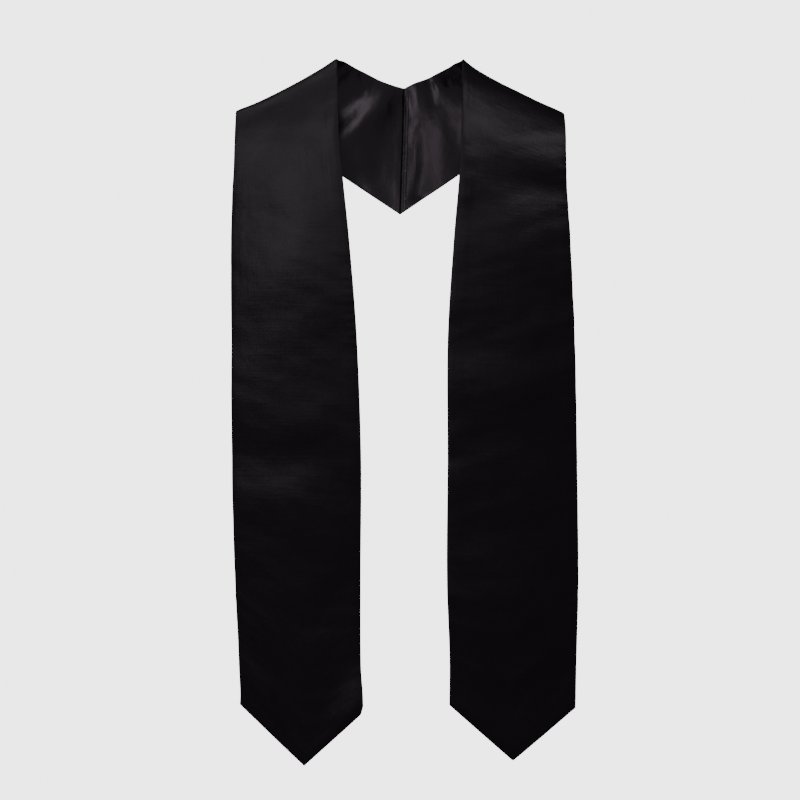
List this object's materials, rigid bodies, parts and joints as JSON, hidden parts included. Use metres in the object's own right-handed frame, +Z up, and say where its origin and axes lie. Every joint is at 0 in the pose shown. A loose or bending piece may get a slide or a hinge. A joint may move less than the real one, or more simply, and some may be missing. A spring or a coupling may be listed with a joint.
{
  "type": "graduation stole",
  "caption": "Plain black satin graduation stole in its worn form: long lined strips with pointed ends that hang in front from a V-shaped back yoke with a centre seam.",
  "frame": {"origin": "midway between the two neck points, where the stole lies at the sides of the wearer's neck on top of the shoulders", "axes": "+Z up, -Y the way the wearer faces, +X towards the wearer's left, which is the picture's right"},
  "size_m": [0.381, 0.1434, 0.7786],
  "materials": {
    "face_satin": "black satin, soft sheen",
    "lining_satin": "black satin, brighter sheen"
  },
  "bodies": {
    "root": {"left_face": "face_satin", "left_lining": "lining_satin", "right_face": "face_satin", "right_lining": "lining_satin", "back_seam_welt": "lining_satin"}
  },
  "joints": []
}
